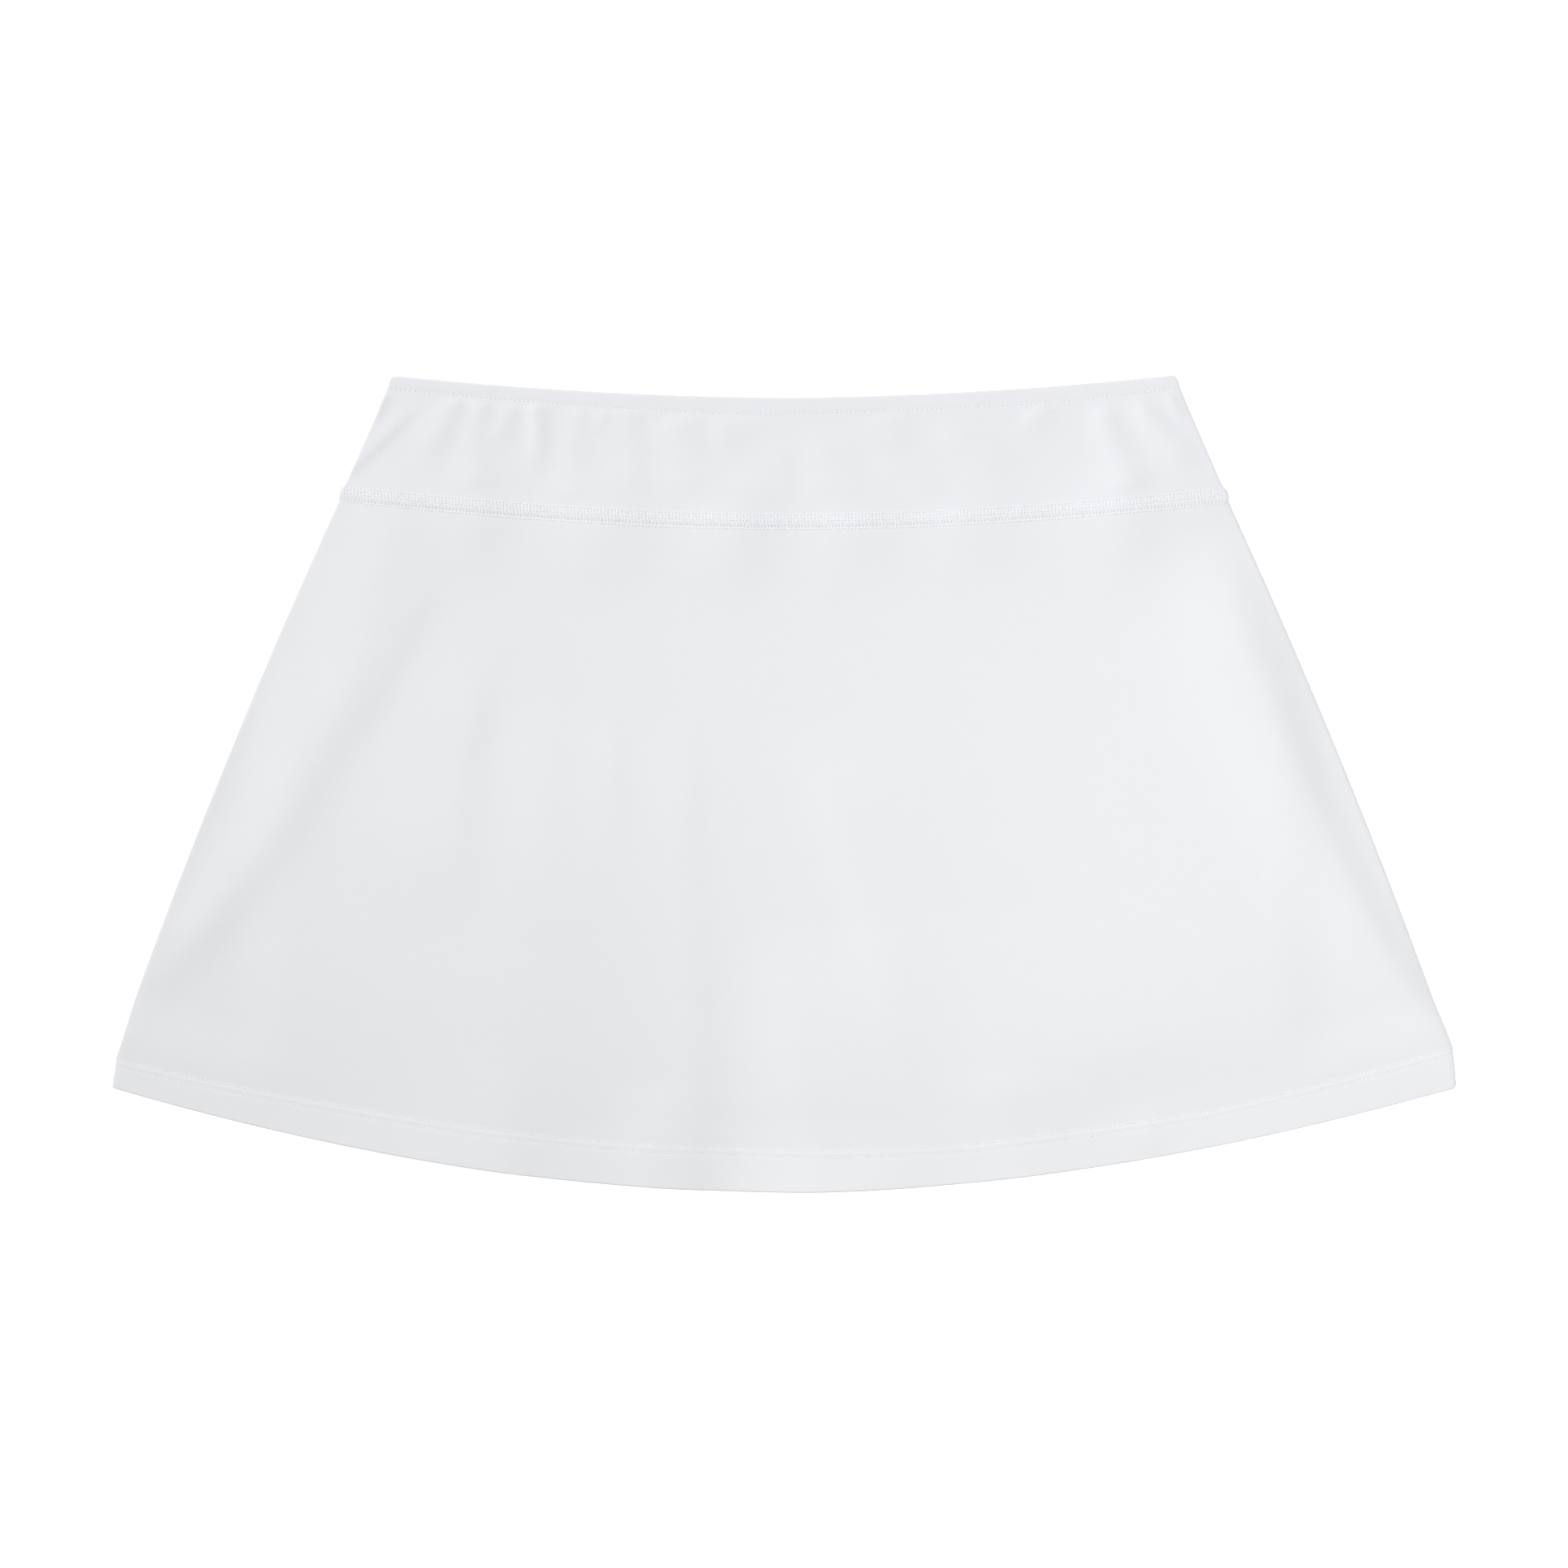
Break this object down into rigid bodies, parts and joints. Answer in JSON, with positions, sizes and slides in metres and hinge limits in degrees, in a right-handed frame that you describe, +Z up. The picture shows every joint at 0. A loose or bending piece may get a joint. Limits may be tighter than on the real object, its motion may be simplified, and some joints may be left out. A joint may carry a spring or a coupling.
{
  "type": "skort",
  "caption": "White sports skort laid flat: wide yoke with an elastic waist casing, raised flat seam, plain A-line skirt with a turned-up hem, hidden inner shorts.",
  "frame": {"origin": "middle of the garment's outline, on the surface that its back lies on", "axes": "+X across the garment, to the right as the front is seen; +Y from the hem to the waist; +Z up, out of the front"},
  "size_m": [0.596, 0.3619, 0.0085],
  "materials": {
    "knit": "smooth fine white jersey with a faint sheen",
    "shorts_knit": "smooth fine white jersey, matte",
    "thread": "white sewing thread with a soft sheen"
  },
  "bodies": {
    "root": {"yoke_front": "knit", "yoke_back": "knit", "skirt_front": "knit", "skirt_back": "knit", "shorts_front": "shorts_knit", "shorts_back": "shorts_knit"}
  },
  "joints": []
}
